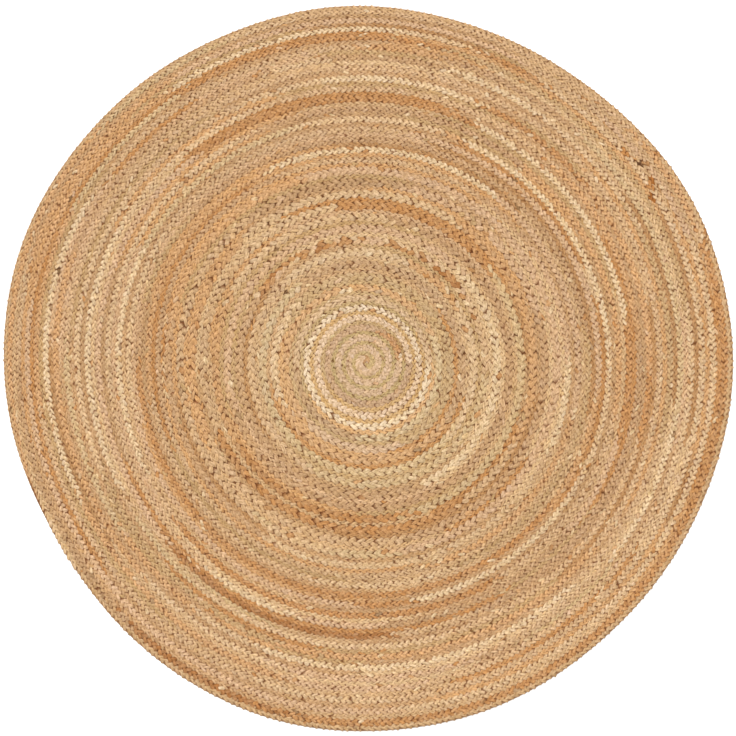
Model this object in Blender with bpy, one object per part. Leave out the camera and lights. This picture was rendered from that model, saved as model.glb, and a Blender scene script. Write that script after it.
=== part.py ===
"""Round jute rug: a flat jute plait, wound outward from the middle and sewn edge to edge.

The plait shows two rows of V's side by side, a crowned row towards the middle of the rug and a lower
row towards its edge, so the coil reads as two ribs a turn. The coil's middle sits off the middle of
the rug, and the turns sway as the plait was pulled tighter or looser, the most towards the edge.

Metres, +Z up. The underside lies on z = 0 and the origin is under the middle of the rug's box.
"""

import math
from collections import namedtuple

import bpy
import numpy as np
from mathutils.geometry import delaunay_2d_cdt

# The rug as a whole
MEAN_RADIUS = 0.750  # a rug sold as 1.5 m across
CORE_RADIUS = 0.006  # the tight knot in the middle, where the plait is turned on itself
END_ANGLE = math.radians(215)  # the direction in which the plait ends, counter-clockwise from +X
END_TAPER = 0.11  # the share of the last turn in which the plait is drawn in to nothing
RIB_STOP = 0.3  # the ribs end where the plait has only this share of its width left

# Heights over the floor
SEAM_HEIGHT = 0.0055  # between two turns
GROOVE_HEIGHT = 0.0060  # between the two ribs of one turn
RIM_HEIGHT = 0.0035  # where the edge bulges furthest out
RIM_TUCK = 0.0020  # how far the underside stops short of the edge
RIM_CORNERS = 100

# The plait at some distance from the coil's middle: how far it moves out in a turn, the share of that
# which the crowned rib takes, how high the two ribs stand, and the corners that a turn is drawn with.
Gauge = namedtuple("Gauge", "radius pitch crown_share crown low corners")
GAUGES = (
    Gauge(0.000, 0.0215, 0.60, 0.0085, 0.0066, 20),
    Gauge(0.122, 0.0215, 0.60, 0.0085, 0.0066, 20),
    Gauge(0.136, 0.0244, 0.62, 0.0090, 0.0070, 36),
    Gauge(0.408, 0.0244, 0.62, 0.0090, 0.0070, 36),
    Gauge(0.426, 0.0206, 0.50, 0.0080, 0.0072, 50),
    Gauge(0.640, 0.0214, 0.50, 0.0080, 0.0072, 50),
    Gauge(0.665, 0.0204, 0.50, 0.0080, 0.0072, 50),
    Gauge(0.750, 0.0204, 0.50, 0.0080, 0.0072, 50),
)

# How the turns sway about the coil's middle, at some distances from it: how many swells there are
# round the rug, how far each stands out, and the turn of the first one. The single swell is a turn
# lying off centre. The last line of each count is the rug's edge.
Swell = namedtuple("Swell", "count radius height lean_deg")
SWELLS = (
    Swell(1, 0.070, 0.0000, 125),
    Swell(1, 0.120, 0.0087, 127),
    Swell(1, 0.150, 0.0105, 121),
    Swell(1, 0.410, 0.0108, 124),
    Swell(1, 0.500, 0.0084, 118),
    Swell(1, 0.670, 0.0078, 129),
    Swell(1, 0.750, 0.0139, 93),
    Swell(2, 0.070, 0.0000, 115),
    Swell(2, 0.150, 0.0034, 118),
    Swell(2, 0.260, 0.0034, 128),
    Swell(2, 0.330, 0.0031, 102),
    Swell(2, 0.670, 0.0037, 95),
    Swell(2, 0.750, 0.0042, 60),
    Swell(3, 0.230, 0.0000, 0),
    Swell(3, 0.500, 0.0024, -65),
    Swell(3, 0.600, 0.0034, -82),
    Swell(3, 0.670, 0.0045, -91),
    Swell(3, 0.750, 0.0064, -68),
    Swell(4, 0.250, 0.0000, 125),
    Swell(4, 0.450, 0.0017, 80),
    Swell(4, 0.570, 0.0020, 62),
    Swell(4, 0.670, 0.0036, 29),
    Swell(4, 0.750, 0.0040, 6),
    Swell(5, 0.360, 0.0000, -150),
    Swell(5, 0.670, 0.0014, -142),
    Swell(5, 0.750, 0.0022, -120),
    Swell(7, 0.600, 0.0000, 115),
    Swell(7, 0.750, 0.0008, 115),
    Swell(11, 0.600, 0.0000, 35),
    Swell(11, 0.750, 0.0008, 35),
)
END_REACH = 10  # how fast the step that the plait's end leaves dies out inwards, as a power

JUTE_COLOUR = (0.58, 0.37, 0.18, 1.0)
JUTE_ROUGHNESS = 0.85


def gauge_at(radius, column):
    """A column of the plait's table, at a distance from the coil's middle."""
    return float(np.interp(radius, [g.radius for g in GAUGES], [getattr(g, column) for g in GAUGES]))


class Winding:
    """The coil while it is still even and round. A place along the plait is given in turns."""

    STEP = 0.01  # turns

    def __init__(self):
        radii = [0.0]
        while radii[-1] < MEAN_RADIUS + gauge_at(MEAN_RADIUS, "pitch") / 2:
            radii.append(radii[-1] + self.STEP * gauge_at(radii[-1], "pitch"))
        self.radii = radii
        self.turns = self.STEP * (len(radii) - 1)

    def outer_side(self, turns):
        """How far out the plait's outer side is."""
        return float(np.interp(turns / self.STEP, range(len(self.radii)), self.radii))

    def angle(self, turns):
        return END_ANGLE + math.tau * (turns - self.turns)

    def width_left(self, turns):
        """The share of its width that the plait still has: all of it, until it is drawn in at its end."""
        drawn_in = min(max((turns - self.turns + END_TAPER) / END_TAPER, 0.0), 1.0)
        return 1 - drawn_in * drawn_in * (3 - 2 * drawn_in)

    def across(self, turns, share):
        """How far out a line along the plait is, at a share of the way across it from its inner side."""
        return self.outer_side(turns - 1 + share * self.width_left(turns))

    def edge(self, angle):
        """The rug's edge in a direction."""
        past = (angle - END_ANGLE) / math.tau % 1.0
        return self.across(self.turns - 1 + past, 1.0)


def sway(radius, angle):
    """How far a turn stands out of its even circle, at a distance from the coil's middle."""
    out = 0.0
    for count in sorted({s.count for s in SWELLS}):
        rows = [s for s in SWELLS if s.count == count]
        at = [s.radius for s in rows]
        along = [s.height * math.cos(math.radians(s.lean_deg)) for s in rows]
        aside = [s.height * math.sin(math.radians(s.lean_deg)) for s in rows]
        out += np.interp(radius, at, along) * math.cos(count * angle)
        out -= np.interp(radius, at, aside) * math.sin(count * angle)
    return float(out)


def edge_radius(angle):
    """The real edge, from the coil's middle."""
    return MEAN_RADIUS + sway(MEAN_RADIUS, angle)


def uneven(winding, radius, angle):
    """A place on the even coil, moved as the turns sway. The outermost turns close up to the edge."""
    even_edge = winding.edge(angle)
    closed_up = radius + (MEAN_RADIUS - even_edge) * (radius / even_edge) ** END_REACH
    moved = closed_up + sway(min(closed_up, MEAN_RADIUS), angle)
    return moved * math.cos(angle), moved * math.sin(angle)


def stations(winding):
    """The places along the plait that get a corner, in step from one turn to the next."""
    turns = [0.0]
    while turns[-1] < winding.turns:
        turns.append(turns[-1] + 1 / round(gauge_at(winding.outer_side(turns[-1]), "corners")))
    return turns[1:-1]


def plait_lines(winding):
    """The crowned rib, the groove, the low rib and the seam: each a list of (x, y, height)."""
    lines = ([], [], [], [])
    for turns in stations(winding):
        angle = winding.angle(turns)
        at = winding.outer_side(turns)
        left = winding.width_left(turns)
        crown_share = gauge_at(at, "crown_share")
        marks = (
            (crown_share / 2, gauge_at(at, "crown")),
            (crown_share, GROOVE_HEIGHT),
            ((1 + crown_share) / 2, gauge_at(at, "low")),
            (1.0, SEAM_HEIGHT),
        )
        for line, (share, height) in zip(lines, marks):
            radius = winding.across(turns, share)
            on_the_edge = share == 1.0 and turns > winding.turns - 1
            if radius > CORE_RADIUS and left > RIB_STOP and not on_the_edge:
                thinned = SEAM_HEIGHT + left * (height - SEAM_HEIGHT)
                line.append((*uneven(winding, radius, angle), thinned))
    return lines


def rim_ring(tuck, height):
    """The rug's outline as a closed ring, drawn in by tuck."""
    ring = []
    for corner in range(RIM_CORNERS):
        angle = END_ANGLE + math.tau * corner / RIM_CORNERS
        radius = edge_radius(angle) - tuck
        ring.append((radius * math.cos(angle), radius * math.sin(angle), height))
    return ring


def coil_top(rim):
    """A net over the plait's lines, inside the rim. Returns its points and its faces, the rim's first."""
    points = rim + [(0.0, 0.0, gauge_at(0.0, "crown"))]
    runs = []
    for line in plait_lines(Winding()):
        runs += [(i, i + 1) for i in range(len(points), len(points) + len(line) - 1)]
        points += line
    inside_only = 1
    same_place = 1e-6
    found = delaunay_2d_cdt([p[:2] for p in points], runs, [range(len(rim))], inside_only, same_place)
    faces, named = found[2], found[3]
    return points, [[named[corner][0] for corner in face] for face in faces]


def plaited_coil():
    """The ribbed top, a rounded rim under it and a flat underside."""
    rim = rim_ring(0.0, RIM_HEIGHT)
    points, faces = coil_top(rim)
    foot = rim_ring(RIM_TUCK, 0.0)
    first_foot = len(points)
    middle = first_foot + len(foot)
    points += foot + [(0.0, 0.0, 0.0)]
    for corner in range(RIM_CORNERS):
        following = (corner + 1) % RIM_CORNERS
        faces.append([corner, first_foot + corner, first_foot + following, following])
        faces.append([middle, first_foot + following, first_foot + corner])
    low, high = np.min(rim, axis=0), np.max(rim, axis=0)
    points = np.array(points) - [*(low + high)[:2] / 2, 0.0]
    mesh = bpy.data.meshes.new("plaited_coil")
    mesh.from_pydata(points.tolist(), [], faces)
    mesh.shade_smooth()
    mesh.set_sharp_from_angle(angle=math.radians(60))
    return mesh


def jute():
    material = bpy.data.materials.new("jute")
    material.use_nodes = True
    surface = material.node_tree.nodes["Principled BSDF"]
    surface.inputs["Base Color"].default_value = JUTE_COLOUR
    surface.inputs["Roughness"].default_value = JUTE_ROUGHNESS
    surface.inputs["Metallic"].default_value = 0.0
    return material


def main():
    for left_over in list(bpy.data.objects):
        bpy.data.objects.remove(left_over)
    rug = bpy.data.objects.new("plaited_coil", plaited_coil())
    rug.data.materials.append(jute())
    bpy.context.scene.collection.objects.link(rug)


main()
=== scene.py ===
"""Dresses the round jute rug: every lobe of the plait that shows, the bed under them, and stray fibres."""

import math
from collections import namedtuple

import bpy
import numpy as np
from bpy.props import FloatProperty, FloatVectorProperty, IntProperty, PointerProperty
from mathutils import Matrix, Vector


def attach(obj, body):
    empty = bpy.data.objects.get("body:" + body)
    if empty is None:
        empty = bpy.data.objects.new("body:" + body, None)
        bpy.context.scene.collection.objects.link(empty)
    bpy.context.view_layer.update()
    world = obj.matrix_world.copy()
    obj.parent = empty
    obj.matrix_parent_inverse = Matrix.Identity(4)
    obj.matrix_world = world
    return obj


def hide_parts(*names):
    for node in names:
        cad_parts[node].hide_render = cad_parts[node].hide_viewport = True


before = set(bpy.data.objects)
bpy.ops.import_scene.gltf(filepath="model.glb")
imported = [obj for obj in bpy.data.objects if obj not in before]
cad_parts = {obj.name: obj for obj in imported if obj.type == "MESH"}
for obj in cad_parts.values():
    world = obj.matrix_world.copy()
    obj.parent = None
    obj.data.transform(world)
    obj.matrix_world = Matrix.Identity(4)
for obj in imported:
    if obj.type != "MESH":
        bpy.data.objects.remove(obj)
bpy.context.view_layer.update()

bl_info = {
    "name": "Round jute rug",
    "version": (1, 0, 0),
    "blender": (4, 5, 0),
    "location": "3D View > Sidebar > Rug",
    "description": "Plaits, colours and lights a round rug of raw jute",
    "category": "Add Mesh",
}

NODE = "plaited_coil"  # the solid that the pieces here stand for
MM = 0.001

# ---- The winding: the rug's edge and the outer turns are those of the solid ----

MEAN_RADIUS = 0.750
END_ANGLE = math.radians(215)  # the direction in which the plait ends, counter-clockwise from +X
END_TAPER = 0.11  # the share of the last turn in which the plait is drawn in to nothing
END_REACH = 10  # how fast the step that the plait's end leaves dies out inwards, as a power
RIM_HEIGHT = 0.0035  # where the edge bulges furthest out
RIM_CORNERS = 100
KNOT = 11 * MM  # nearer than this to the coil's middle the lobes get shorter, as the plait folds on itself
EYE = 1.0 * MM  # no lobe reaches nearer to the middle than this

# The plait at some distance from the coil's middle: how far it moves out in a turn, the share of that
# which the crowned row takes, and how high the crowned and the low row stand.
Gauge = namedtuple("Gauge", "radius pitch crown_share crown low")
GAUGES = (
    Gauge(0.0000, 0.0300, 0.56, 0.0084, 0.0079),
    Gauge(0.0140, 0.0300, 0.56, 0.0084, 0.0079),
    Gauge(0.0167, 0.0215, 0.56, 0.0084, 0.0079),
    Gauge(0.158, 0.0215, 0.56, 0.0084, 0.0079),
    Gauge(0.172, 0.0244, 0.59, 0.0087, 0.0081),
    Gauge(0.408, 0.0244, 0.59, 0.0087, 0.0081),
    Gauge(0.426, 0.0206, 0.50, 0.0080, 0.0072),
    Gauge(0.640, 0.0214, 0.50, 0.0080, 0.0072),
    Gauge(0.665, 0.0204, 0.50, 0.0080, 0.0072),
    Gauge(0.750, 0.0204, 0.50, 0.0080, 0.0072),
)

# How the turns sway about the coil's middle, at some distances from it. Near the middle they follow the
# real rows more closely than the solid does.
Swell = namedtuple("Swell", "count radius height lean_deg")
SWELLS = (
    Swell(1, 0.045, 0.0061, 123),
    Swell(1, 0.068, 0.0066, 123),
    Swell(1, 0.090, 0.0080, 122),
    Swell(1, 0.112, 0.0103, 122),
    Swell(1, 0.133, 0.0116, 123),
    Swell(1, 0.153, 0.0128, 119),
    Swell(1, 0.178, 0.0126, 117),
    Swell(1, 0.260, 0.0110, 121),
    Swell(1, 0.410, 0.0108, 124),
    Swell(1, 0.500, 0.0084, 118),
    Swell(1, 0.670, 0.0078, 129),
    Swell(1, 0.750, 0.0139, 93),
    Swell(2, 0.070, 0.0000, 115),
    Swell(2, 0.150, 0.0034, 118),
    Swell(2, 0.260, 0.0034, 128),
    Swell(2, 0.330, 0.0031, 102),
    Swell(2, 0.670, 0.0037, 95),
    Swell(2, 0.750, 0.0042, 60),
    Swell(3, 0.230, 0.0000, 0),
    Swell(3, 0.500, 0.0024, -65),
    Swell(3, 0.600, 0.0034, -82),
    Swell(3, 0.670, 0.0045, -91),
    Swell(3, 0.750, 0.0064, -68),
    Swell(4, 0.250, 0.0000, 125),
    Swell(4, 0.450, 0.0017, 80),
    Swell(4, 0.570, 0.0020, 62),
    Swell(4, 0.670, 0.0036, 29),
    Swell(4, 0.750, 0.0040, 6),
    Swell(5, 0.360, 0.0000, -150),
    Swell(5, 0.670, 0.0014, -142),
    Swell(5, 0.750, 0.0022, -120),
    Swell(7, 0.600, 0.0000, 115),
    Swell(7, 0.750, 0.0008, 115),
    Swell(11, 0.600, 0.0000, 35),
    Swell(11, 0.750, 0.0008, 35),
)

# ---- The lobes: what shows of each strand as it crosses the plait ----

# Distance from the coil's middle, then how far apart the lobes of one column lie in the crowned and in
# the low row.
Braid = namedtuple("Braid", "radius crown_step low_step")
BRAIDS = (
    Braid(0.000, 0.0118, 0.0110),
    Braid(0.118, 0.0128, 0.0120),
    Braid(0.140, 0.0185, 0.0138),
    Braid(0.405, 0.0178, 0.0130),
    Braid(0.430, 0.0134, 0.0130),
    Braid(0.750, 0.0129, 0.0126),
)

# A lobe from the row's edge, where its strand comes up, to past the middle, where it dives under the
# next lobe of the other column: how far along it lies, as a share of the lobe's reach, how far across
# its column, its share of its full width, how far below its top, as a share of what its row stands over
# the grooves, and how far it tips towards the edge, in mm.
Station = namedtuple("Station", "along across width drop tip")
STATIONS = (
    Station(0.00, -0.12, 0.55, 0.95, 0.0),
    Station(0.20, 0.08, 0.95, 0.24, 0.0),
    Station(0.48, 0.46, 1.00, 0.00, 0.1),
    Station(0.76, 0.86, 0.80, 0.02, 0.3),
    Station(1.00, 1.16, 0.30, 0.85, 0.4),
)
REACH = 1.16  # a lobe's reach over that of a straight strand, as it leaves the edge and dives in a curve
GROOVE = 5.8 * MM  # how high the grooves between the rows lie
SECTION = (-1.0, -0.72, 0.0, 0.72, 1.0)  # the places across a lobe that get a point, as shares of its half
OVERLAP = 1.26  # a lobe's width over the room between its neighbours
CROSSING = (1.50, 1.85)  # how many lobes of a column go by while a strand crosses the crowned or the low row

Ring = namedtuple("Ring", "name inner outer")  # the turns that one piece holds, by distance
RINGS = (
    Ring("plait_middle", 0.000, 0.360),
    Ring("plait_inner_turns", 0.360, 0.500),
    Ring("plait_half_way_turns", 0.500, 0.600),
    Ring("plait_outer_turns", 0.600, 0.690),
    Ring("plait_edge_turns", 0.690, 0.900),
)

# The stripes that show from a step away: the turn each lies in, counted inwards from
# the edge as 0, -1 and on, its row, and where it starts and stops, in degrees counter-clockwise from +X.
Stripe = namedtuple("Stripe", "turn rib start stop tone")
STRIPES = (
    # Along the edge: a pale row all round, and rust inside it at the right and the bottom
    Stripe(0, "low", 0, 215, "pale"),
    Stripe(-1, "low", 200, 360, "pale"),
    Stripe(0, "crown", 0, 20, "rust"),
    Stripe(-1, "low", 0, 12, "rust"),
    Stripe(-1, "crown", 255, 360, "rust"),
    Stripe(-2, "low", 335, 360, "rust"),
    Stripe(-1, "crown", 228, 255, "fox"),
    Stripe(0, "crown", 140, 205, "ginger"),
    # At the top
    Stripe(-2, "low", 70, 100, "brown"),
    Stripe(-2, "crown", 58, 70, "rust"),
    Stripe(-5, "crown", 55, 75, "cream"),
    Stripe(-6, "low", 72, 100, "pale"),
    Stripe(-7, "crown", 70, 100, "cream"),
    Stripe(-11, "crown", 0, 66, "cream"),
    Stripe(-5, "crown", 28, 54, "pale"),
    Stripe(-18, "crown", 56, 137, "pale"),
    Stripe(-23, "crown", 68, 137, "pale"),
    Stripe(-22, "crown", 24, 150, "mixed"),
    # At the left
    Stripe(-4, "crown", 150, 205, "cream"),
    Stripe(-8, "crown", 150, 205, "cream"),
    Stripe(-11, "crown", 155, 205, "cream"),
    Stripe(-16, "low", 165, 190, "mixed"),
    Stripe(-19, "low", 162, 186, "pale"),
    # At the bottom
    Stripe(-10, "low", 205, 300, "rust"),
    Stripe(-9, "crown", 222, 275, "fox"),
    Stripe(-10, "crown", 232, 252, "cream"),
    Stripe(-8, "crown", 215, 232, "sage"),
    Stripe(-9, "low", 230, 250, "sage"),
    Stripe(-8, "crown", 255, 285, "pale"),
    Stripe(-5, "crown", 253, 290, "rose"),
    Stripe(-5, "low", 255, 290, "pale"),
    Stripe(-16, "crown", 240, 326, "pale"),
    Stripe(-17, "crown", 240, 260, "pale"),
    Stripe(-14, "crown", 255, 280, "pale"),
    # At the right
    Stripe(-12, "crown", 281, 324, "cream"),
    Stripe(-12, "crown", 340, 360, "pale"),
    Stripe(-13, "low", 340, 360, "rust"),
    Stripe(-12, "low", 0, 14, "rust"),
    Stripe(-10, "low", 325, 360, "rust"),
    Stripe(-9, "low", 0, 28, "rust"),
    Stripe(-5, "crown", 322, 350, "cream"),
    Stripe(-5, "low", 300, 320, "sage"),
    Stripe(-19, "low", 0, 30, "brown"),
    Stripe(-19, "low", 30, 120, "rust"),
    Stripe(-18, "low", 345, 360, "pale"),
    # The first four turns, then two thin pale rings round them
    Stripe(-34, "crown", 0, 1440, "straw"),
    Stripe(-34, "low", 0, 1440, "khaki"),
    Stripe(-28, "crown", 0, 360, "cream"),
    Stripe(-29, "crown", 0, 360, "pale"),
)
# Between them one lot of fibre follows another as it came to hand: how long a lot lasts, and its tones,
# those that turn up more often named more than once.
LOT_LENGTH = (0.12, 0.80)  # metres
LOTS = {
    "crown": "straw straw straw straw pale pale pale cream rose rose tan tan ginger ginger "
    "sage khaki umber rust",
    "low": "ginger ginger ginger tan tan tan straw straw straw khaki khaki rust rust brown umber pale rose",
}
RIBS = ("crown", "low")
STAGGER = 2.2  # by how many degrees more each next strand is late to change its tone
STAGGER_LENGTH = 0.007  # metres of plait for a degree of it
DRIFT_STEP = 0.30  # metres along the plait in which a strand goes from lighter to darker
# The fibre towards the middle of the rug is of a drier, paler lot.
DRIER = {
    "radius": (0.10, 0.17, 0.30, 0.60),
    "red": (1.01, 1.02, 0.95, 1.01),
    "green": (1.09, 1.08, 0.95, 1.02),
    "blue": (1.27, 1.20, 0.98, 1.09),
}
EDGE_SHADE = (0.88, 0.84, 0.80)  # painted shade: the low row along the edge, where it turns down over the rim, is darkened
GOLDEN = (0.985, 0.975, 0.935)  # the low rows are more golden
# Single lobes that stand out in the photo: the turn and rib they are in, and where they start and stop
Spot = namedtuple("Spot", "turn rib start stop tone")
SPOTS = (
    Spot(-2, "low", 35.3, 36.4, "dark"),
    Spot(-1, "crown", 34.9, 35.8, "brown"),
    Spot(-2, "crown", 38.0, 39.6, "rust"),
    Spot(-2, "low", 32.0, 33.4, "fox"),
    Spot(-2, "crown", 30.8, 32.2, "rust"),
    Spot(-3, "low", 28.8, 30.4, "fox"),
    Spot(-24, "low", 140.2, 141.6, "dark"),
)
# Odd lobes that turn up anywhere
FLECKS = ("cream", "cream", "rose", "ginger", "rust", "khaki", "brown", "dark")
FLECK_SHARE = 0.03  # of all lobes
FIBRE_TONES = ("cream", "cream", "pale", "pale", "straw", "rust", "brown")  # the shades of loose ends
MIXED = ("pale", "rose", "rust", "rust", "fox")  # what a mixed stripe is made of


def gauge(radius, column):
    """A column of the plait's table, at distances from the coil's middle."""
    return np.interp(radius, [g.radius for g in GAUGES], [getattr(g, column) for g in GAUGES])


def braid(radius, column):
    return np.interp(radius, [b.radius for b in BRAIDS], [getattr(b, column) for b in BRAIDS])


def smooth(x):
    x = np.clip(x, 0.0, 1.0)
    return x * x * (3 - 2 * x)


def sway(radius, angle):
    """How far a turn stands out of its even circle."""
    out = 0.0
    for count in sorted({s.count for s in SWELLS}):
        rows = [s for s in SWELLS if s.count == count]
        at = [s.radius for s in rows]
        along = [s.height * math.cos(math.radians(s.lean_deg)) for s in rows]
        aside = [s.height * math.sin(math.radians(s.lean_deg)) for s in rows]
        out = out + np.interp(radius, at, along) * np.cos(count * angle)
        out = out - np.interp(radius, at, aside) * np.sin(count * angle)
    return out


class Coil:
    """The plait's winding. A place along it is given in turns, one across it as a share of its width."""

    STEP = 0.01

    def __init__(self):
        radii = [0.0]
        while radii[-1] < MEAN_RADIUS + gauge(MEAN_RADIUS, "pitch") / 2:
            radii.append(radii[-1] + self.STEP * float(gauge(radii[-1], "pitch")))
        self.radii = np.array(radii)
        self.marks = self.STEP * np.arange(len(radii))
        self.turns = float(self.marks[-1])
        lengths = math.tau * np.maximum(self.radii, KNOT) * self.STEP
        self.lengths = np.concatenate([[0.0], np.cumsum((lengths[1:] + lengths[:-1]) / 2)])
        angles = END_ANGLE + math.tau * np.arange(RIM_CORNERS) / RIM_CORNERS
        edge = MEAN_RADIUS + sway(MEAN_RADIUS, angles)
        rim = np.stack([edge * np.cos(angles), edge * np.sin(angles)])
        self.middle = -(rim.min(axis=1) + rim.max(axis=1)) / 2  # where the coil's middle is in the rug

    def outer_side(self, turns):
        return np.interp(turns, self.marks, self.radii)

    def angle(self, turns):
        return END_ANGLE + math.tau * (turns - self.turns)

    def length(self, turns):
        """How long the plait is from its start to here."""
        return np.interp(turns, self.marks, self.lengths)

    def at_length(self, length):
        return np.interp(length, self.lengths, self.marks)

    def width_left(self, turns):
        return 1 - smooth((turns - self.turns + END_TAPER) / END_TAPER)

    def across(self, turns, share):
        return self.outer_side(turns - 1 + share * self.width_left(turns))

    def even_edge(self, angle):
        past = (angle - END_ANGLE) / math.tau % 1.0
        return self.across(self.turns - 1 + past, 1.0)

    def uneven(self, radius, angle):
        """A place on the even coil, moved as the turns sway, in the rug's own frame."""
        even_edge = self.even_edge(angle)
        closed_up = radius + (MEAN_RADIUS - even_edge) * (radius / even_edge) ** END_REACH
        moved = closed_up + sway(np.minimum(closed_up, MEAN_RADIUS), angle)
        return moved * np.cos(angle) + self.middle[0], moved * np.sin(angle) + self.middle[1]

    def place(self, turns, share):
        return self.uneven(self.across(turns, share), self.angle(turns))


COIL = Coil()

# ---- Colours ----


def linear(hex_colour):
    """An sRGB hex value as linear RGBA."""
    parts = [int(hex_colour[i : i + 2], 16) / 255 for i in (1, 3, 5)]
    return (*[c / 12.92 if c <= 0.04045 else ((c + 0.055) / 1.055) ** 2.4 for c in parts], 1.0)


class RugSizes(bpy.types.PropertyGroup):
    """Sizes of the plait that can be changed without changing the solid."""

    lobe_swell: FloatProperty(
        name="Lobe swell",
        description="How far a lobe's middle stands over its sides",
        default=1.8 * MM,
        min=0.0,
        max=4 * MM,
        unit="LENGTH",
    )
    unevenness: FloatProperty(
        name="Unevenness",
        description="How much one lobe differs from the next, by hand plaiting",
        default=1.0,
        min=0.0,
        max=3.0,
        subtype="FACTOR",
    )
    fibre_count: IntProperty(
        name="Stray fibres",
        description="How many loose ends stand out of the plait",
        default=2200,
        min=0,
        max=4000,
    )


def fibre_colour(name, description, hex_colour):
    """A colour setting that starts at an sRGB hex value."""
    return FloatVectorProperty(
        name=name, description=description, subtype="COLOR", size=4, default=linear(hex_colour)
    )


class RugColours(bpy.types.PropertyGroup):
    """The shades of raw jute that the plait is made of."""

    cream: fibre_colour("Cream", "The palest, finest fibre", "#d4b98f")
    pale: fibre_colour("Pale", "Pale fibre", "#cbab80")
    straw: fibre_colour("Straw", "The usual fibre", "#c29f74")
    tan: fibre_colour("Tan", "Fibre retted a little longer", "#b69066")
    ginger: fibre_colour("Ginger", "Fibre from red stems", "#c29462")
    rust: fibre_colour("Rust", "Rust-red fibre from the foot of the stems", "#b27d47")
    fox: fibre_colour("Fox", "The reddest fibre", "#9c6430")
    brown: fibre_colour("Brown", "Brown fibre with bark left on", "#a67a4c")
    dark: fibre_colour("Dark", "Bits of stem", "#60401d")
    khaki: fibre_colour("Khaki", "Fibre cut half green", "#b39264")
    sage: fibre_colour("Sage", "Pale fibre cut green", "#c2a679")
    rose: fibre_colour("Rose", "Pale fibre with a flush of pink", "#c5a17a")
    umber: fibre_colour("Umber", "Greyed fibre", "#b18c62")


# ---- Meshes and nodes ----


def mesh_object(name, points, faces, smooth_shaded=True):
    """A piece from arrays: points (n, 3) and faces (m, 3 or 4)."""
    mesh = bpy.data.meshes.new(name)
    sides = faces.shape[1]
    mesh.vertices.add(len(points))
    mesh.vertices.foreach_set("co", np.ascontiguousarray(points, np.float32).ravel())
    mesh.loops.add(faces.size)
    mesh.loops.foreach_set("vertex_index", np.ascontiguousarray(faces, np.int32).ravel())
    mesh.polygons.add(len(faces))
    mesh.polygons.foreach_set("loop_start", np.arange(0, faces.size, sides, dtype=np.int32))
    mesh.update(calc_edges=True)
    if smooth_shaded:
        mesh.shade_smooth()
    piece = bpy.data.objects.new(name, mesh)
    bpy.context.scene.collection.objects.link(piece)
    return piece


def point_value(piece, name, values):
    attribute = piece.data.attributes.new(name, "FLOAT", "POINT")
    attribute.data.foreach_set("value", np.ascontiguousarray(values, np.float32).ravel())


def point_colour(piece, name, colours):
    """A colour for each point from linear (r, g, b)."""
    attribute = piece.data.attributes.new(name, "FLOAT_COLOR", "POINT")
    whole = np.concatenate([colours, np.ones((len(colours), 1))], axis=1)
    attribute.data.foreach_set("color", np.ascontiguousarray(whole, np.float32).ravel())


def corner_map(piece, name, coordinates):
    """A UV map from one (u, v) for each point."""
    index = np.empty(len(piece.data.loops), np.int32)
    piece.data.loops.foreach_get("vertex_index", index)
    layer = piece.data.uv_layers.new(name=name)
    layer.uv.foreach_set("vector", np.ascontiguousarray(coordinates[index], np.float32).ravel())


def add_node(tree, kind, settings=(), links=()):
    """Adds a node. settings are its properties, and inputs by name or number; links feed inputs."""
    node = tree.nodes.new(kind)
    for key, value in dict(settings).items():
        if isinstance(key, int) or key in node.inputs:
            node.inputs[key].default_value = value
        else:
            setattr(node, key, value)
    for key, source in dict(links).items():
        tree.links.new(source, node.inputs[key])
    return node


def drift(length, step, generator):
    """Slow random change along the plait, about -1 to 1, with a knot every step metres."""
    knots = int(COIL.lengths[-1] / step) + 3
    values = generator.normal(0.0, 1.0, knots)
    return np.interp(length, np.arange(knots) * step, values)


# ---- The lobes ----


def lobe_rows():
    """Every lobe, as arrays: where along the plait, its row and column, and its strand."""
    found = []
    for row in (0, 1):
        step_column = ("crown_step", "low_step")[row]
        places = []
        place = float(COIL.length(0.4))
        end = float(COIL.lengths[-1])
        while place < end:
            places.append(place)
            place += float(braid(COIL.outer_side(COIL.at_length(place)), step_column)) / 2
        places = np.array(places)
        order = np.arange(len(places))
        found.append(np.stack([places, np.full(len(places), row), order % 2, order % 3], axis=1))
    return np.concatenate(found)


def lot_tones(length, rib, names, generator):
    """Each lobe's tone, by the lot of fibre that was being plaited there. The two rows take their own."""
    tone = np.empty(len(length), int)
    for number, row in enumerate(RIBS):
        ends = np.cumsum(generator.uniform(*LOT_LENGTH, int(COIL.lengths[-1] / LOT_LENGTH[0])))
        drawn = generator.choice([names.index(name) for name in LOTS[row].split()], len(ends) + 1)
        here = rib == number
        tone[here] = drawn[np.searchsorted(ends, length[here])]
    return tone


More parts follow.
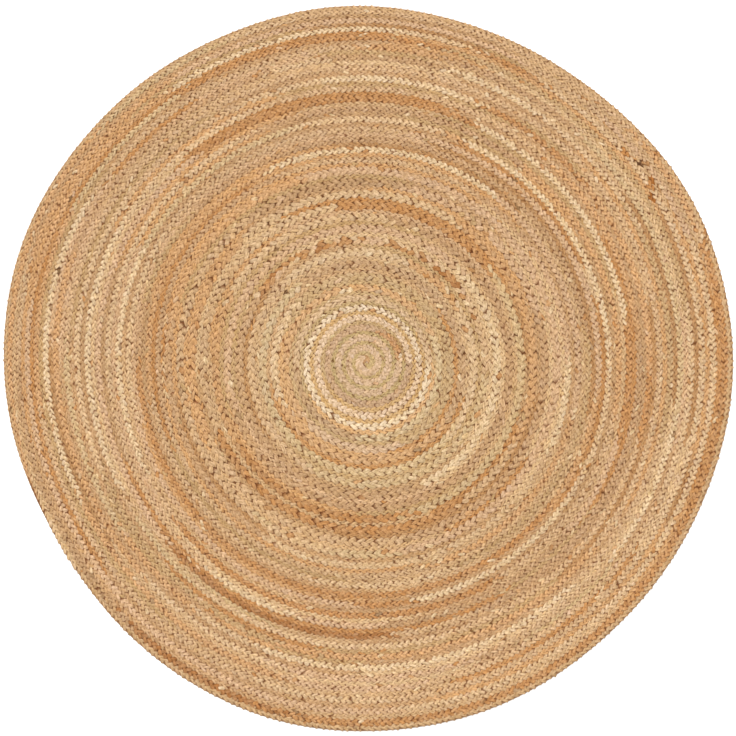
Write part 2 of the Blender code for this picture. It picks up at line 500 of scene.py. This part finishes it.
def lobe_colours(rows, colours):
    """Each lobe's colour: its stripe's tone or its lot's, changing one strand at a time, with odd lobes."""
    generator = np.random.default_rng(41)
    names = list(RugColours.__annotations__)
    shades = np.array([getattr(colours, name)[:3] for name in names])
    length, rib, strand = rows[:, 0], rows[:, 1], rows[:, 3]
    placed = np.degrees(COIL.angle(COIL.at_length(length)))
    late = STAGGER * (strand - 1) + generator.normal(0.0, 0.7, len(rows))
    tone = lot_tones(length + STAGGER_LENGTH * late, rib, names, generator)
    degrees = placed + late
    for stripe in STRIPES:
        here = (rib == RIBS.index(stripe.rib)) & (degrees >= 360 * stripe.turn + stripe.start)
        here &= degrees < 360 * stripe.turn + stripe.stop
        picks = [names.index(name) for name in (MIXED if stripe.tone == "mixed" else (stripe.tone,))]
        tone[here] = generator.choice(picks, int(here.sum()))
    odd = generator.random(len(rows)) < FLECK_SHARE
    tone[odd] = generator.choice([names.index(name) for name in FLECKS], int(odd.sum()))
    # A new lot is worked in with the old, so a lobe has more or less of its lot's tone in it.
    usual = shades[names.index("straw")]
    taken = generator.uniform(0.6, 0.9, len(rows))
    taken = np.where(tone == names.index("dark"), 0.75 * generator.uniform(0.1, 1.0, len(rows)) ** 1.5, taken)
    for spot in SPOTS:
        here = (rib == RIBS.index(spot.rib)) & (placed >= 360 * spot.turn + spot.start)
        here &= placed < 360 * spot.turn + spot.stop
        tone[here] = names.index(spot.tone)
        taken[here] = 1.0
    found = usual + (shades[tone] - usual) * taken[:, None]
    light = 1 + 0.016 * generator.normal(0.0, 1.0, len(rows))
    for thread in (0, 1, 2):
        light = light + (strand == thread) * 0.038 * drift(length, DRIFT_STEP, generator)
    warm = 0.02 * generator.normal(0.0, 1.0, len(rows))
    found = found * light[:, None] * np.stack([1 + warm * 0.5, np.ones(len(rows)), 1 - warm * 1.5], axis=1)
    radius = COIL.outer_side(COIL.at_length(length) - 0.5)
    # In the thick plait the low rows are paler.
    golden = np.array(GOLDEN) * np.interp(radius, (0.41, 0.43), (1.06, 1.01))[:, None]
    found = np.where(rib[:, None] == 1, found * golden, found)
    # In the thin turns round the middle the low rows are olive and the crowned ones pale, as thin rings.
    near = np.interp(radius, (0.115, 0.135), (1.0, 0.0))[:, None]
    found = found * (1 + near * np.where(rib[:, None] == 1, (-0.06, -0.02, -0.11), (0.03, 0.02, 0.06)))
    for part, channel in enumerate(("red", "green", "blue")):
        found[:, part] *= np.interp(radius, DRIER["radius"], DRIER[channel])
    # Painted shade: the low row along the edge is darkened.
    on_edge = (COIL.at_length(length) > COIL.turns - 1) & (rib == 1)
    found = np.where(on_edge[:, None], found * EDGE_SHADE, found)
    return np.clip(found, 0.02, 0.95)


def lobe_points(rows, swell, unevenness):
    """The points of every lobe, (lobes, points, 3), with each point's share along and across its lobe."""
    generator = np.random.default_rng(7)
    count = len(rows)
    length, row, column = rows[:, 0], rows[:, 1], rows[:, 2]
    turns = COIL.at_length(length)
    radius = COIL.outer_side(turns - 0.5)
    pitch = gauge(radius, "pitch")
    left = COIL.width_left(turns)
    crown_share = gauge(radius, "crown_share")
    width = np.where(row == 0, crown_share, 1 - crown_share) * pitch
    start_share = np.where(row == 0, 0.0, crown_share)
    height = np.where(row == 0, gauge(radius, "crown"), gauge(radius, "low"))
    step = np.where(row == 0, braid(radius, "crown_step"), braid(radius, "low_step"))
    column_width = width / 2
    slope = np.arctan(width / (np.array(CROSSING)[row.astype(int)] * step))
    slope = slope + unevenness * np.radians(2.5) * generator.normal(0.0, 1.0, count)

    def each(values):
        return np.asarray(values)[:, None, None]

    thick = 1 + unevenness * 0.08 * generator.normal(0.0, 1.0, count)
    size = 1 + unevenness * 0.06 * generator.normal(0.0, 1.0, count)
    lift = unevenness * 0.25 * MM * generator.normal(0.0, 1.0, count)
    roll = unevenness * 0.25 * MM * generator.normal(0.0, 1.0, count)
    shift = unevenness * 0.05 * step * generator.normal(0.0, 1.0, count)

    on_edge = (turns > COIL.turns - 1) & (row == 1) & (column == 1)
    table = np.array(STATIONS)
    u, across_share, width_share, drop, tip = (table[:, i][None, :, None] for i in range(5))
    v = np.array(SECTION)[None, None, :]
    reach = REACH * column_width * (table[-1, 1] - table[0, 1]) / np.tan(slope)
    line_along = each(shift) + each(reach * size) * (u - 0.5)
    line_across = each(column_width) * across_share
    tangent_along = each(reach * size) * np.gradient(table[:, 0])[None, :, None]
    tangent_across = each(column_width) * np.gradient(table[:, 1])[None, :, None]
    norm = np.hypot(tangent_along, tangent_across)
    half = each(step * np.sin(slope) / 2 * OVERLAP * thick) * width_share * v
    half = half * (1 + 0.4 * each(on_edge) * (u < 0.3))
    along = line_along - tangent_across / norm * half
    across = line_across + tangent_along / norm * half
    domed = np.sqrt(1 - np.abs(0.98 * v) ** 3.6) - 1
    z = each(height + lift) - drop * each(height - GROOVE) + each(swell * thick) * domed
    z = z + (each(roll) + tip * MM) * v

    # Along the rug's edge the lobes come up from under it, and are drawn in tight.
    z = z - each(on_edge) * np.where(u < 0.1, 3.0, 1.3 * (u < 0.3)) * MM
    across = across + each(on_edge) * (1.8 + 1.2 * (u < 0.1)) * MM

    side = np.where(column == 0, -1.0, 1.0)
    from_row = each(column_width) + each(side) * (each(column_width) - across)
    share = each(start_share) + from_row / each(pitch)
    thinned = each(0.25 + 0.75 * left)
    z = np.maximum(z * thinned + 0.004 * (1 - thinned), 0.5 * MM)
    ring = COIL.across(each(turns), share)
    place = each(turns) - along / (math.tau * np.maximum(ring, KNOT))
    x, y = COIL.place(place, share)
    points = np.stack([x, y, np.broadcast_to(z, x.shape)], axis=3).reshape(count, -1, 3)
    u, v = (grid.ravel() for grid in np.broadcast_arrays(u, v))
    return points, u, v, radius


def lobe_faces(count):
    lines, side = len(STATIONS), len(SECTION)
    first = (np.arange(lines - 1)[:, None] * side + np.arange(side - 1)[None, :]).ravel()
    quad = np.stack([first, first + side, first + side + 1, first + 1], axis=1)
    return (np.arange(count)[:, None, None] * lines * side + quad[None]).reshape(-1, 4)


def lobe_cells(count, u, v):
    """Each lobe's own cell of a square map, with a margin round it."""
    cells = math.ceil(math.sqrt(count))
    at = np.arange(count)
    cell = np.stack([at % cells, at // cells], axis=1)[:, None, :]
    inside = 0.08 + 0.84 * np.stack([u, (v + 1) / 2], axis=1)[None]
    return ((cell + inside) / cells).reshape(-1, 2)


# ---- Stray fibres ----

FIBRE_SIDES = 3
FIBRE_TURNS = (0.0, 0.12, 0.38, 0.66, 0.90, 1.0)  # shares of a fibre's length that get a ring of points


def stray_fibres(count):
    """Loose ends lying along the lobes: points (count, points, 3) and faces."""
    generator = np.random.default_rng(61)
    length = generator.uniform(float(COIL.length(1.5)), float(COIL.lengths[-1]) * 0.998, count)
    turns = COIL.at_length(length)
    radius = COIL.outer_side(turns - 0.5)
    rib = generator.integers(0, 2, count)
    crown_share = gauge(radius, "crown_share")
    middle = np.where(rib == 0, crown_share / 2, (1 + crown_share) / 2)
    height = np.where(rib == 0, gauge(radius, "crown"), gauge(radius, "low"))
    start = middle + 0.10 * generator.normal(0.0, 1.0, count)
    drift_out = 0.12 * generator.normal(0.0, 1.0, count)
    reach = generator.uniform(9, 34, count) * MM * generator.choice((-1, 1), count)
    arch = generator.uniform(0.1, 0.9, count) * MM
    half = generator.uniform(0.16, 0.42, count) * MM
    bend = 0.05 * generator.normal(0.0, 1.0, count)

    w = np.array(FIBRE_TURNS)
    ring = COIL.across(turns, start)
    place = turns[:, None] + reach[:, None] * w / (math.tau * np.maximum(ring, 0.01))[:, None]
    place = np.minimum(place, COIL.turns - 0.01)
    share = start[:, None] + drift_out[:, None] * w + bend[:, None] * np.sin(math.tau * w)
    share = np.clip(share, 0.02, 0.98)
    x, y = COIL.place(place, share)
    z = height[:, None] - 0.35 * MM + arch[:, None] * np.sin(math.pi * w)
    line = np.stack([x, y, z], axis=2)
    along = np.gradient(line, axis=1)
    along /= np.linalg.norm(along, axis=2, keepdims=True)
    aside = np.cross(along, (0.0, 0.0, 1.0))
    aside /= np.linalg.norm(aside, axis=2, keepdims=True)
    upward = np.cross(aside, along)
    thick = half[:, None] * np.sqrt(np.clip(1 - (2 * w - 1) ** 2, 0.0, 1.0))
    rings = []
    for side in range(FIBRE_SIDES):
        a = math.tau * side / FIBRE_SIDES + math.pi / 2
        rings.append(line + thick[..., None] * (math.cos(a) * aside + math.sin(a) * upward))
    whole = np.stack(rings, axis=2)[:, 1:-1]
    points = np.concatenate([line[:, :1], whole.reshape(count, -1, 3), line[:, -1:]], axis=1)

    faces = []
    inner = len(w) - 2
    last = 1 + inner * FIBRE_SIDES
    for side in range(FIBRE_SIDES):
        following = (side + 1) % FIBRE_SIDES
        faces.append((0, 1 + side, 1 + following))
        for station in range(inner - 1):
            a = 1 + station * FIBRE_SIDES
            b = a + FIBRE_SIDES
            faces.append((a + side, b + side, b + following))
            faces.append((a + side, b + following, a + following))
        faces.append((last, last - FIBRE_SIDES + following, last - FIBRE_SIDES + side))
    faces = (np.arange(count)[:, None, None] * (last + 1) + np.array(faces)[None]).reshape(-1, 3)
    return points, faces


# ---- The bed ----

BED_CORNERS = 200  # round the rug
BED_LINES = 4  # a turn
BED_TOP = 5.6 * MM
BED_RIBS = 1.6 * MM  # how far the ribbed underside is hollowed between the ribs
KNOT_TOP = 8.2 * MM  # over the very middle


def bed_mesh():
    """A closed bed: lines along the plait, four a turn, on top and below, and a rounded edge."""
    past = np.arange(BED_CORNERS) / BED_CORNERS
    turns = COIL.turns - 1 + past
    lines = int((COIL.turns - 1) * BED_LINES)
    rings = []
    shares = []
    for line in range(lines + 1):
        whole = line // BED_LINES
        share = 1 - (line % BED_LINES) / BED_LINES
        at = turns - whole
        radius = COIL.across(at, share)
        rings.append(COIL.uneven(radius, COIL.angle(at)))
        shares.append(np.full(BED_CORNERS, share))
    flat = np.array(rings).transpose(0, 2, 1)  # line, corner, xy
    share = np.array(shares)
    low = np.where(np.isclose(share % 0.5, 0.25), 0.0, BED_RIBS)
    low[0] = RIM_HEIGHT
    top = np.full_like(low, BED_TOP)
    top[0] = RIM_HEIGHT + 0.001
    under = np.concatenate([flat, low[:, :, None]], axis=2)
    over = np.concatenate([flat, top[:, :, None]], axis=2)
    each = (lines + 1) * BED_CORNERS
    middle = COIL.middle
    points = np.concatenate(
        [over.reshape(-1, 3), [[*middle, KNOT_TOP]], under.reshape(-1, 3), [[*middle, 0.0]]]
    )
    faces = []

    def number(line, corner):
        return line * BED_CORNERS + corner

    def add(a, b, c, d):
        faces.extend([(a, b, c), (a, c, d)])

    for line in range(lines):
        for corner in range(BED_CORNERS - 1):
            here, inner = number(line, corner), number(line + 1, corner)
            add(here, here + 1, inner + 1, inner)
    # Where a turn's lines go on as those of the turn outside it, and where the plait has come to its end
    last = BED_CORNERS - 1
    for line in range(lines):
        if line < BED_LINES:
            faces.append((number(line, last), number(0, 0), number(line + 1, last)))
        else:
            outer, inner = line - BED_LINES, line + 1 - BED_LINES
            add(number(line, last), number(outer, 0), number(inner, 0), number(line + 1, last))
    hub = number(lines, last)
    for line in range(lines - BED_LINES, lines):
        faces.append((hub, number(line, 0), number(line + 1, 0)))
    centre = each
    faces.append((centre, hub, number(lines, 0)))
    for corner in range(last):
        faces.append((centre, number(lines, corner), number(lines, corner + 1)))
    top_faces = np.array(faces)
    below = top_faces[:, ::-1] + each + 1
    ring = np.arange(BED_CORNERS)
    following = (ring + 1) % BED_CORNERS
    under_ring = ring + each + 1
    under_following = following + each + 1
    side = np.concatenate(
        [
            np.stack([ring, under_ring, following], axis=1),
            np.stack([following, under_ring, under_following], axis=1),
        ]
    )
    # Painted shade: the bed's top, which shows only in the gaps between the lobes, and the hollows between
    # the ribs below are darkened; the top near the middle, and the rim, less so.
    underside_hollow_shade = np.where(low > 0.5 * MM, 0.8, 0.05)
    deep = np.concatenate([np.full(each, 0.8), [0.1], underside_hollow_shade.ravel(), [0.05]])
    knot = np.hypot(*(flat - middle).transpose(2, 0, 1)).ravel() < 2 * KNOT
    deep[:each][knot] = 0.25
    deep[:BED_CORNERS] = deep[each + 1 : each + 1 + BED_CORNERS] = 0.3
    return points, np.concatenate([top_faces, below, side]), deep


# ---- Materials ----


def raw_jute(name, fibre_map):
    """Raw jute, retted and hand-plaited without a dye: matt, with a faint silky lustre along the fibres,
    and each lot of fibre has its own shade between rust, straw and cream."""
    material = bpy.data.materials.new(name)
    material.use_nodes = True
    tree = material.node_tree
    surface = tree.nodes["Principled BSDF"]
    shade = add_node(tree, "ShaderNodeAttribute", {"attribute_name": "shade"}).outputs["Color"]
    deep = add_node(tree, "ShaderNodeAttribute", {"attribute_name": "deep"}).outputs["Fac"]
    # Fibre bundles are 0.1 to 0.3 mm wide. The broadest are drawn 2 to 3 mm wide, so that they show.
    fibres_at = add_node(tree, "ShaderNodeUVMap", {"uv_map": fibre_map}).outputs["UV"]
    fibres = add_node(
        tree,
        "ShaderNodeTexNoise",
        {"noise_dimensions": "2D", "Scale": 0.42, "Detail": 4.0, "Roughness": 0.65},
        {"Vector": fibres_at},
    ).outputs["Fac"]
    # The fibre streaks scale the colour as darker and paler bundles; the pale end is also whitened, a painted
    # sheen, and the dark end turned more orange, a painted shade.
    streaks_and_sheen = add_node(
        tree,
        "ShaderNodeMapRange",
        {
            "data_type": "FLOAT_VECTOR",
            7: (0.28,) * 3,
            8: (0.72,) * 3,
            9: (0.64, 0.57, 0.44),
            10: (1.34, 1.37, 1.47),
        },
        {6: fibres},
    )
    fibred = add_node(
        tree, "ShaderNodeVectorMath", {"operation": "MULTIPLY"}, {0: shade, 1: streaks_and_sheen.outputs[1]}
    )
    # Painted shade: down between the lobes, where little light comes back, the colour is multiplied towards a
    # dark golden brown.
    recess_shade = add_node(
        tree,
        "ShaderNodeMix",
        {"data_type": "RGBA", "blend_type": "MULTIPLY", 7: linear("#84501a")},
        {0: deep, 6: fibred.outputs[0]},
    )
    tree.links.new(recess_shade.outputs[2], surface.inputs["Base Color"])
    bump = add_node(
        tree, "ShaderNodeBump", {"Strength": 0.9, "Distance": 0.5 * MM}, {"Height": fibres}
    )
    tree.links.new(bump.outputs["Normal"], surface.inputs["Normal"])
    surface.inputs["Roughness"].default_value = 0.88
    surface.inputs["Specular IOR Level"].default_value = 0.15
    surface.inputs["Sheen Weight"].default_value = 0.03
    surface.inputs["Sheen Roughness"].default_value = 0.5
    return material


def lit_acrylic(name, hex_colour):
    """Pale acrylic over a light table: even and matt."""
    material = bpy.data.materials.new(name)
    material.use_nodes = True
    tree = material.node_tree
    surface = tree.nodes["Principled BSDF"]
    grain = add_node(tree, "ShaderNodeTexNoise", {"Scale": 400.0, "Detail": 2.0})
    bump = add_node(
        tree, "ShaderNodeBump", {"Strength": 0.02, "Distance": 0.1 * MM}, {"Height": grain.outputs["Fac"]}
    )
    tree.links.new(bump.outputs["Normal"], surface.inputs["Normal"])
    surface.inputs["Base Color"].default_value = linear(hex_colour)
    surface.inputs["Roughness"].default_value = 0.9
    surface.inputs["Specular IOR Level"].default_value = 0.1
    # Lit from below as well, so that the rug's own shadow stays faint.
    surface.inputs["Emission Color"].default_value = linear(hex_colour)
    surface.inputs["Emission Strength"].default_value = 0.35
    return material


def dress(piece, material):
    """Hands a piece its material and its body."""
    piece.data.materials.append(material)
    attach(piece, "root")
    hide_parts(NODE)


# ---- Operators ----


class RUG_OT_lobes(bpy.types.Operator):
    """Lays every lobe of the plait that shows from above"""

    bl_idname = "rug.lobes"
    bl_label = "Plait the Lobes"

    def execute(self, context):
        sizes, colours = context.scene.rug_sizes, context.scene.rug_colours
        rows = lobe_rows()
        shades = lobe_colours(rows, colours)
        points, u, v, radius = lobe_points(rows, sizes.lobe_swell, sizes.unevenness)
        # Painted shade: the lobes are darkened along their sides, the more so towards the row's edge, and at
        # their ends, most at the end that comes up at the row's edge.
        beside = 1.90 * (np.abs(v) > 0.9) * np.interp(u, (0.2, 0.5, 0.8), (1.0, 0.8, 0.5))
        at_ends = 0.10 * (u < 0.3) + 0.7 * (u < 0.1) + 0.3 * (u > 0.9)
        recess_shade = np.clip(beside + at_ends, 0, 1.6)
        generator = np.random.default_rng(23)
        # How dark each lobe's painted shade is, at random: a few lobes much darker, those of the low rows
        # lighter.
        recess_darkness = np.where(generator.random(len(rows)) < 0.16, 1.5, generator.uniform(0.5, 1.0, len(rows)))
        recess_darkness = (recess_darkness * np.where(rows[:, 1] == 1, 0.75, 1.0))[:, None]
        # Painted shade: on a few lobes the end that dives under the next lobe is darkened further.
        coarse = np.where((radius > 0.13) & (radius < 0.42), 0.04, 0.02)  # in the thick plait more dives show
        dive_shade = np.where(generator.random(len(rows)) < coarse, 0.8, 0.0)[:, None] * (u > 0.6)[None]
        off_middle = np.linalg.norm(points[:, :, :2] - COIL.middle, axis=2).min(axis=1)
        material = raw_jute("raw_jute_plaited", "fibres")
        for ring in RINGS:
            chosen = (radius >= ring.inner) & (radius < ring.outer) & (off_middle > EYE)
            count = int(chosen.sum())
            if not count:
                raise RuntimeError(f"{ring.name} has no lobes")
            piece = mesh_object(ring.name, points[chosen].reshape(-1, 3), lobe_faces(count))
            each = len(u)
            point_colour(piece, "shade", np.repeat(shades[chosen], each, axis=0))
            point_value(piece, "deep", np.clip(recess_darkness[chosen] * recess_shade[None] + dive_shade[chosen], 0, 1))
            corner_map(piece, "OFBake", lobe_cells(count, u, v))
            own = np.arange(count)[:, None] * 3.7
            strands = np.interp(radius[chosen], (0.12, 0.14, 0.41, 0.43), (2.7, 3.9, 3.9, 2.7))[:, None]
            fibre = np.stack([own + u[None] * 1.8 * strands, own * 0.31 + v[None] * strands], axis=2)
            corner_map(piece, "fibres", fibre.reshape(-1, 2))
            dress(piece, material)
        return {"FINISHED"}


class RUG_OT_fibres(bpy.types.Operator):
    """Scatters the loose ends that stand out of the plait"""

    bl_idname = "rug.fibres"
    bl_label = "Scatter the Stray Fibres"

    def execute(self, context):
        sizes, colours = context.scene.rug_sizes, context.scene.rug_colours
        points, faces = stray_fibres(sizes.fibre_count)
        count, each = points.shape[:2]
        piece = mesh_object("stray_fibres", points.reshape(-1, 3), faces)
        generator = np.random.default_rng(67)
        picks = np.array([getattr(colours, name)[:3] for name in FIBRE_TONES])
        shades = picks[generator.integers(0, len(picks), count)]
        point_colour(piece, "shade", np.repeat(shades, each, axis=0))
        point_value(piece, "deep", np.zeros(count * each))
        corner_map(piece, "fibres", points.reshape(-1, 3)[:, :2] * 300)
        dress(piece, raw_jute("raw_jute_loose", "fibres"))
        return {"FINISHED"}


class RUG_OT_bed(bpy.types.Operator):
    """Fills what lies under the lobes, with the ribbed underside and the rounded edge"""

    bl_idname = "rug.bed"
    bl_label = "Lay the Bed"

    def execute(self, context):
        colours = context.scene.rug_colours
        points, faces, share = bed_mesh()
        piece = mesh_object("plait_bed", points, faces)
        count = len(points)
        generator = np.random.default_rng(5)
        light = 1 + 0.08 * generator.normal(0.0, 1.0, (count, 1))
        point_colour(piece, "shade", np.array(colours.tan[:3]) * light)
        # The bed's painted shade, as bed_mesh gives it.
        point_value(piece, "deep", share)
        corner_map(piece, "fibres", points[:, :2] * 700)
        dress(piece, raw_jute("raw_jute_bed", "fibres"))
        return {"FINISHED"}


CAMERA_HEIGHT = 4.0
VIEW_WIDTH = 1.525  # what the camera takes in at the rug's top
COIL_OFF_CENTRE = 0.01554  # how far above the middle of the picture the coil's middle is
RUG_TOP = 0.008
FLOOR_HALF = 9.0
FLOOR_HEIGHT = -0.0005
ROOM_LIGHT = 0.75

# The direction that each light comes from, in degrees, its strength and how wide it is
Lamp = namedtuple("Lamp", "name azimuth elevation strength width")
LAMPS = (
    Lamp("key_light", 115, 54, 2.0, 32),
    Lamp("fill_light", -65, 60, 0.5, 60),
)


class RUG_OT_stage(bpy.types.Operator):
    """Sets the floor, the lights and the camera"""

    bl_idname = "rug.stage"
    bl_label = "Set the Stage"

    def execute(self, context):
        scene = context.scene
        half, z = FLOOR_HALF, FLOOR_HEIGHT
        corners = np.array([(-half, -half, z), (half, -half, z), (half, half, z), (-half, half, z)])
        floor = mesh_object("studio_floor", corners, np.array([[0, 1, 2, 3]]), smooth_shaded=False)
        floor.data.materials.append(lit_acrylic("matt_white_acrylic", "#f1f1f0"))

        world = bpy.data.worlds.new("studio")
        world.use_nodes = True
        background = world.node_tree.nodes["Background"]
        background.inputs["Color"].default_value = (1.0, 1.0, 1.0, 1.0)
        background.inputs["Strength"].default_value = ROOM_LIGHT
        scene.world = world

        for lamp in LAMPS:
            data = bpy.data.lights.new(lamp.name, "SUN")
            data.energy = lamp.strength
            data.angle = math.radians(lamp.width)
            light = bpy.data.objects.new(lamp.name, data)
            a, e = math.radians(lamp.azimuth), math.radians(lamp.elevation)
            towards = Vector((math.cos(a) * math.cos(e), math.sin(a) * math.cos(e), math.sin(e)))
            light.rotation_euler = towards.to_track_quat("Z", "Y").to_euler()
            scene.collection.objects.link(light)

        data = bpy.data.cameras.new("camera")
        camera = bpy.data.objects.new("camera", data)
        scene.collection.objects.link(camera)
        data.sensor_width = 36.0
        data.lens = data.sensor_width * CAMERA_HEIGHT / VIEW_WIDTH
        data.clip_start = 0.05
        camera.location = (COIL.middle[0], COIL.middle[1] - COIL_OFF_CENTRE, CAMERA_HEIGHT + RUG_TOP)
        scene.camera = camera
        scene.view_settings.view_transform = "Standard"
        return {"FINISHED"}


class RUG_PT_panel(bpy.types.Panel):
    """Lists the steps in the order in which they run"""

    bl_idname = "RUG_PT_panel"
    bl_label = "Round Jute Rug"
    bl_space_type = "VIEW_3D"
    bl_region_type = "UI"
    bl_category = "Rug"

    def draw(self, context):
        for group in (context.scene.rug_sizes, context.scene.rug_colours):
            for name in group.__annotations__:
                self.layout.prop(group, name)
        for step in STEPS:
            self.layout.operator(step.bl_idname)


STEPS = (RUG_OT_stage, RUG_OT_lobes, RUG_OT_fibres, RUG_OT_bed)
CLASSES = (RugSizes, RugColours, *STEPS, RUG_PT_panel)


def register():
    for kind in CLASSES:
        bpy.utils.register_class(kind)
    bpy.types.Scene.rug_sizes = PointerProperty(type=RugSizes)
    bpy.types.Scene.rug_colours = PointerProperty(type=RugColours)


def unregister():
    del bpy.types.Scene.rug_colours
    del bpy.types.Scene.rug_sizes
    for kind in reversed(CLASSES):
        bpy.utils.unregister_class(kind)


def main():
    register()
    bpy.ops.rug.stage()
    bpy.ops.rug.lobes()
    bpy.ops.rug.fibres()
    bpy.ops.rug.bed()


if __name__ == "__main__":
    main()
